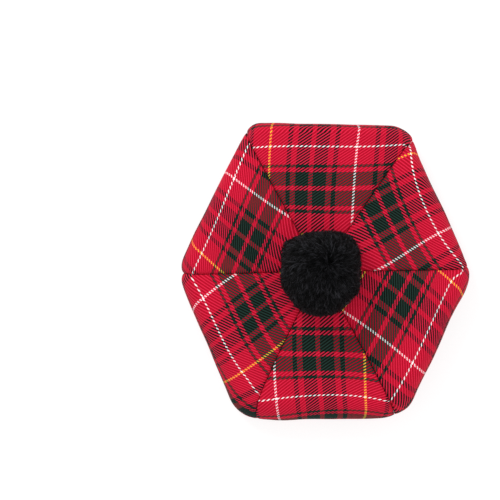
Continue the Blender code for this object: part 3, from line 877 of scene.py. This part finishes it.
def make_underside(finish):
    """The strip that turns in under the crown and is gathered into the band."""
    step = steps_past(TURN_SHARE, TURN_ROWS, STRIP_ROWS)
    columns = GATHERS * GATHER_COLUMNS
    phase = (np.arange(columns) / columns * GATHERS)[None, :]
    drift = wave(GATHER_DRIFT, math.tau * phase / GATHERS)
    angle = math.tau * (phase + drift) / GATHERS
    angle = angle + 0 * step
    step = step + 0 * angle
    radius, height = strip_profile(angle, step)
    normal = profile_normal(strip_profile, angle, step)
    share = np.maximum(0.0, (step - TURN_SHARE) / (1 - TURN_SHARE))
    strength = GATHER_MEAN + wave(GATHER_STRENGTH, math.tau * phase / GATHERS)
    fold = np.abs(np.sin(np.pi * (phase % 1.0))) ** GATHER_ROUNDNESS
    relief = GATHER_DEPTH * strength * fold * share ** GATHER_FADE
    reach = np.sin(np.pi * step / LONG_FOLD_END) ** LONG_FOLD_FLATNESS
    relief = relief - swells(LONG_FOLDS, angle) * reach
    nearest = np.min([np.abs(between(turn(seam.edge), angle)) for seam in SEAMS], axis=0)
    fade = np.maximum(0.0, 1 - step / TURN_SHARE)
    seam = pulled_in(edge_radius(angle) * nearest, SEAM_DEPTH + NOTCH_DEPTH, SEAM_WIDTH)
    relief = relief + (swells(BULGES, angle) - seam) * fade
    plain = place(angle, radius, height)
    wander = soft_noise(plain, scale=0.050, size=4.0, seed=5.5)
    small = np.sin(math.tau * phase * SMALL_GATHERS + wander) * share ** SMALL_GATHER_FADE
    uneven = SMALL_GATHER_MEAN + soft_noise(plain, scale=0.045, size=0.6, seed=9.9)
    slack = soft_noise(plain, scale=0.030, size=0.0014, seed=8.2)
    slack = slack * np.minimum(1.0, step / SLACK_START)
    relief = relief + SMALL_GATHER_DEPTH * small * uneven + slack
    askew = soft_noise(plain, scale=0.055, size=5.0, seed=6.6)
    askew = askew + STRIP_TILT * np.sin(angle + STRIP_TILT_TURN)
    v = HALF_SETT - (way_along(radius, height) - STRIP_LINE) / UNIT + askew
    sway = soft_noise(plain, scale=0.050, size=3.5, seed=1.9)
    u = STRIP_REPEATS * HALF_SETT * (angle / math.tau) + STRIP_TURN + sway
    uv = np.stack([u, v], axis=-1) / HALF_SETT
    sides = sides_of_cloth(angle, radius, height, normal, relief, UNDERSIDE_CLOTH)
    item = sheet_object("tartan_underside", sides, uv, finish, (STRIP_REPEATS, 0))
    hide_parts("gathered_underside")
    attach(item, "root")


def smooth_section(points, count):
    """A closed outline rounded through its points, as count points evenly spaced along it."""
    points = np.array(points)
    size = len(points)
    parts = 12
    dense = []
    for i in range(size):
        near = [points[(i + k) % size] for k in (-1, 0, 1, 2)]
        dense.extend(through_points(*near, t) for t in np.arange(parts) / parts)
    dense = np.array(dense + dense[:1])
    pieces = np.linalg.norm(np.diff(dense, axis=0), axis=1)
    along = np.concatenate([[0.0], np.cumsum(pieces)])
    at = np.arange(count) / count * along[-1]
    return np.stack([np.interp(at, along, dense[:, k]) for k in range(2)], axis=1)


def make_headband(finish):
    """The doubled band with its soft rim, creased where its elastic draws it up."""
    columns = BAND_COLUMNS
    angle = (np.arange(columns) / columns * math.tau)[:, None]
    roll = RIM_ROLL
    rim = [(out * roll, up * roll) for out, up in RIM_OUTSIDE]
    lean = BAND_RADIUS - RIM_RADIUS
    rim += [(lean, BAND_HEIGHT), (lean - BAND_WALL, BAND_HEIGHT)]
    rim += [(out * roll, up * roll) for out, up in RIM_INSIDE]
    section = smooth_section(rim, BAND_OUTLINE)
    ripple = wave(BAND_RIPPLES, angle)
    out = section[None, :, 0]
    up = np.maximum(section[None, :, 1], 0.0)
    height = np.clip(up / BAND_HEIGHT, 0.0, 1.0)
    ring = round_axis(angle, CREASE_LIFT * height)
    crease = soft_noise(ring, scale=0.045, size=0.00030, seed=1.3)
    crease = crease + soft_noise(ring, scale=0.20, size=0.00080, seed=6.1)
    arch = np.sin(np.pi * np.clip(height * CREASE_SPAN + CREASE_START, 0, 1))
    strength = CREASE_LEAST + (1 - CREASE_LEAST) * arch
    radius = RIM_RADIUS + ripple + out + crease * strength
    points = place(angle, radius, up)
    data = bpy.data.meshes.new("soft_headband")
    count = section.shape[0]
    faces = []
    for j in range(columns):
        k = (j + 1) % columns
        for i in range(count):
            n = (i + 1) % count
            faces.append((j * count + i, k * count + i, k * count + n, j * count + n))
    data.from_pydata(points.reshape(-1, 3).tolist(), [], faces)
    data.shade_smooth()
    item = add_object("soft_headband", data, finish)
    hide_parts("headband")
    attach(item, "root")


def make_lining(finish):
    """A shallow dome of wedges, drawn together in a puckered star."""
    angle = (np.arange(LINING_COLUMNS) / LINING_COLUMNS * math.tau)[None, :]
    shares, heights = np.array(LINING_RINGS).T
    foot, top = heights[0], heights[-1]
    at = np.linspace(0, len(shares) - 1, LINING_ROWS)

    def smooth(values):
        end = len(values) - 1
        low = np.clip(np.floor(at).astype(int), 0, end - 1)
        near = (np.maximum(low - 1, 0), low, low + 1, np.minimum(low + 2, end))
        return through_points(*(values[k] for k in near), at - low)

    share = smooth(shares)[:, None]
    height = smooth(heights)[:, None]
    rim = LINING_RADIUS + wave(BAND_RIPPLES, angle)
    raised = np.clip((height - foot) / (top - foot), 0, 1)
    wedge = (LINING_WEDGES * (angle - turn(LINING_TURN)) / math.tau) % 1.0
    distance = np.minimum(wedge, 1 - wedge) / LINING_WEDGES * math.tau * rim * share
    seam = pulled_in(distance, *LINING_SEAM)
    fan = round_axis(angle, LINING_FAN * share)
    wrinkle = soft_noise(fan, scale=0.16, size=1.0, seed=7.7)
    wrinkle = wrinkle + soft_noise(fan, scale=0.07, size=0.5, seed=3.9)
    hanging = share ** 0.7 * (1 - share)
    lowered = raised * seam - LINING_FALL * wrinkle * raised * hanging
    for row in STAR:
        drift = row.drift * np.sin(row.drift_count * angle)
        rays = np.sin(row.count * angle + drift + row.twist * share)
        fade = np.exp(-((share - row.middle) / row.width) ** 2)
        lowered = lowered - row.depth * rays * fade
    lean = (1 - share) * raised
    shifted = place(angle, rim * share, height)
    shifted[..., 0] += STAR_SHIFT[0] * lean
    shifted[..., 1] += STAR_SHIFT[1] * lean
    lowered = lowered + soft_noise(shifted, scale=0.020, size=0.0007, seed=2.4) * raised
    out = np.minimum(1.0, LINING_LEAN * (1 - raised))
    lower = shifted - np.array([0.0, 0.0, 1.0]) * lowered[..., None]
    side = np.stack([np.cos(angle) * out, np.sin(angle) * out, 1 - out + 0 * angle], axis=-1)
    upper = lower + LINING_CLOTH * side
    item = sheet_object("puckered_lining", (upper, lower), shifted[..., :2], finish, (0, 0))
    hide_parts("lining")
    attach(item, "root")


def pompom_reach(direction):
    """How far the ball reaches: a round form that the shears left a little square."""
    around = np.degrees(np.arctan2(direction[..., 1], direction[..., 0])) % 360
    side = np.interp(around, *zip(*POMPOM_OUTLINE))
    level = np.hypot(direction[..., 0], direction[..., 1]) / side
    upright = np.abs(direction[..., 2] / POMPOM_HEIGHT)
    total = level ** POMPOM_SQUARENESS + upright ** POMPOM_SQUARENESS
    away = np.linalg.norm(direction - PARTING, axis=-1) / PARTING_WIDTH
    return total ** (-1 / POMPOM_SQUARENESS) * (1 - PARTING_DEPTH * np.exp(-away * away))


def seat(points):
    """Presses the underside of the ball onto the crown and puts the ball in its place."""
    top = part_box("pompom")[1][2]
    below = np.maximum(0.0, -points[..., 2] - POMPOM_WAIST)
    points = points.copy()
    points[..., 2] += below * (1 - POMPOM_PRESS)
    return points + np.array([*POMPOM_CENTRE, top - POMPOM_HEIGHT - POMPOM_SINK])


def make_pompom_core(finish):
    """The dense heart of the pompom, lumpy where its tufts crowd together."""
    data = bpy.data.meshes.new("pompom_core")
    mesh = bmesh.new()
    bmesh.ops.create_icosphere(mesh, subdivisions=5, radius=1.0)
    directions = np.array([v.co.normalized() for v in mesh.verts])
    lumps = soft_noise(directions, scale=0.16, size=0.035, seed=4.4)
    reach = pompom_reach(directions) * (CORE_SHARE + lumps)
    points = seat(directions * reach[:, None])
    for vertex, point in zip(mesh.verts, points):
        vertex.co = point
    mesh.to_mesh(data)
    mesh.free()
    data.shade_smooth()
    return add_object("pompom_core", data, finish)


def unit(vectors):
    return vectors / np.linalg.norm(vectors, axis=1)[:, None]


def make_pompom_yarn(name, half, finish):
    """Cut yarn ends of one half that lean away from the parting and curl over."""
    rng = np.random.default_rng(7 + half)
    number = np.arange(STRANDS) + STRANDS * half + 0.5
    tilt = np.arccos(1 - STRAND_SPREAD * number / STRANDS)
    around = math.pi * (1 + 5 ** 0.5) * number
    level = np.sin(tilt)
    d = np.stack([level * np.cos(around), level * np.sin(around), np.cos(tilt)], axis=1)
    d = unit(d + rng.normal(0.0, 0.010, d.shape))
    away = d * (d @ PARTING)[:, None] - PARTING
    spread = np.linalg.norm(away, axis=1)
    away = away / np.maximum(spread, 1e-6)[:, None]
    swirl = np.cross(d, away)
    noise.seed_set(TUFT_SEED)
    tuft = np.array([noise.noise_vector(Vector(p) * 5.0) for p in d])
    lean = away + 0.30 * swirl + 0.9 * tuft + rng.normal(0.0, 0.28, d.shape)
    lean = unit(lean - d * (lean * d).sum(axis=1)[:, None])
    bow = np.cross(d, lean)
    length = STRAND_LENGTH * rng.uniform(0.75, 1.15, STRANDS)
    fall = np.clip(0.45 + 0.9 * spread, 0.45, 1.15) * rng.uniform(0.75, 1.2, STRANDS)
    root = d * (pompom_reach(d) * STRAND_ROOT)[:, None]
    curl = rng.uniform(-STRAND_CURL, STRAND_CURL, STRANDS)
    line = []
    for share in STRAND_SHARES:
        bend = fall * share ** 1.3
        up = length * share * np.cos(bend)
        along = length * share * np.sin(bend)
        sideways = curl * np.sin(np.pi * share)
        line.append(root + d * up[:, None] + lean * along[:, None] + bow * sideways[:, None])
    line = np.array(line)
    tip = line[-1]
    limit = pompom_reach(unit(tip)) * rng.uniform(1.005, 1.045, STRANDS)
    shrink = np.minimum(1.0, limit / np.linalg.norm(tip, axis=1))
    shares = np.linspace(0, 1, len(STRAND_SHARES))[:, None]
    line = line * (1 + (shrink - 1) * shares)[..., None]
    points = []
    faces = []
    rings = len(STRAND_SIZES) - 1
    for n in range(STRANDS):
        a = bow[n]
        b = np.cross(a, line[-1][n] - line[0][n])
        b = b / np.linalg.norm(b)
        base = len(points)
        for k in range(rings):
            for side in range(STRAND_SIDES):
                t = side * math.tau / STRAND_SIDES
                points.append(line[k][n] + STRAND_SIZES[k] * (a * math.cos(t) + b * math.sin(t)))
        end = len(points)
        points.append(line[rings][n])
        faces.append((base, base + 2, base + 1))
        for low in range(base, end, STRAND_SIDES):
            high = low + STRAND_SIDES
            for side in range(STRAND_SIDES):
                after = (side + 1) % STRAND_SIDES
                face = (low + side, low + after, high + after, high + side)
                faces.append(face if high < end else (*face[:2], end))
    data = bpy.data.meshes.new(name)
    data.from_pydata(seat(np.array(points)).tolist(), [], faces)
    # the map gives each strand a number of its own, and the share of its length
    counts = [STRAND_SIDES] * rings + [1]
    tone = np.repeat(rng.uniform(0.0, 1.0, STRANDS), sum(counts))
    share = np.tile(np.repeat(STRAND_SHARES, counts), STRANDS)
    corner = np.empty(len(data.loops), dtype=np.int32)
    data.loops.foreach_get("vertex_index", corner)
    add_map(data, "strand", np.stack([tone[corner], share[corner]], axis=1))
    data.shade_smooth()
    return add_object(name, data, finish)


def make_pompom():
    # the core's darker yarn is painted shade deep in the ball
    core = make_pompom_core(yarn_material("pompom_depth_shade", DEPTH_SHADE_TONES, False))
    strands = yarn_material("pompom_yarn", YARN_TONES, True)
    upper = make_pompom_yarn("pompom_yarn_above", 0, strands)
    lower = make_pompom_yarn("pompom_yarn_below", 1, strands)
    for item in (core, upper, lower):
        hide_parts("pompom")
        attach(item, "root")


def make_studio():
    """A pale floor, soft lamps and a camera looking straight down."""
    scene = bpy.context.scene
    data = bpy.data.meshes.new("floor")
    corners = [(x * FLOOR_SIZE, y * FLOOR_SIZE, FLOOR_LEVEL) for x, y in FLOOR_CORNERS]
    data.from_pydata(corners, [], [(0, 1, 2, 3)])
    pale = bpy.data.materials.new("pale_floor")
    pale.use_nodes = True
    floor = add_object("floor", data, pale)
    w = Wiring(pale.node_tree)
    shader = w.tree.nodes["Principled BSDF"]
    set_inputs(shader, {
        "Base Color": FLOOR_COLOUR,
        "Roughness": 0.9,
        "Emission Color": WHITE,
        "Emission Strength": FLOOR_GLOW,
    })
    behind = w.node("ShaderNodeNewGeometry").outputs["Backfacing"]
    clear = w.node("ShaderNodeBsdfTransparent").outputs[0]
    seen = w.node("ShaderNodeMixShader", {0: behind, 1: shader.outputs[0], 2: clear})
    w.tree.links.new(seen.outputs[0], w.tree.nodes["Material Output"].inputs["Surface"])

    world = bpy.data.worlds.new("soft_room")
    world.use_nodes = True
    set_inputs(world.node_tree.nodes["Background"], {"Color": WHITE, "Strength": ROOM_LIGHT})
    scene.world = world

    def lamp(name, location, size, power):
        light = bpy.data.lights.new(name, "AREA")
        light.shape = "DISK"
        light.size = size
        light.energy = power
        item = bpy.data.objects.new(name, light)
        item.location = location
        toward = LAMPS_AIM - item.location
        item.rotation_euler = toward.to_track_quat("-Z", "Y").to_euler()
        scene.collection.objects.link(item)

    lamp("key_softbox", (-0.9, 1.3, 1.5), 0.9, 22.0)
    lamp("fill_softbox", (1.4, -0.6, 1.4), 1.2, 9.0)

    camera = bpy.data.cameras.new("camera")
    camera.sensor_width = 36.0
    camera.lens = camera.sensor_width * CAMERA_DISTANCE / (PHOTO_PIXELS * PIXEL_SIZE)
    camera.clip_start = 0.1
    camera.clip_end = 20.0
    eye = bpy.data.objects.new("camera", camera)
    eye.location = (*CAMERA_PLACE, CAMERA_FOCUS + CAMERA_DISTANCE)
    scene.collection.objects.link(eye)
    scene.camera = eye
    scene.view_settings.view_transform = "Standard"
    scene.view_settings.look = "None"


def main():
    make_studio()
    twill = tartan_group()
    fibres = fuzz_group()
    crown = tartan_material(twill, fibres)
    make_pompom()
    make_headband(band_material(fibres))
    make_underside(crown)
    make_lining(lining_material())
    for index in range(len(SEAMS)):
        make_panel(index, crown)


main()
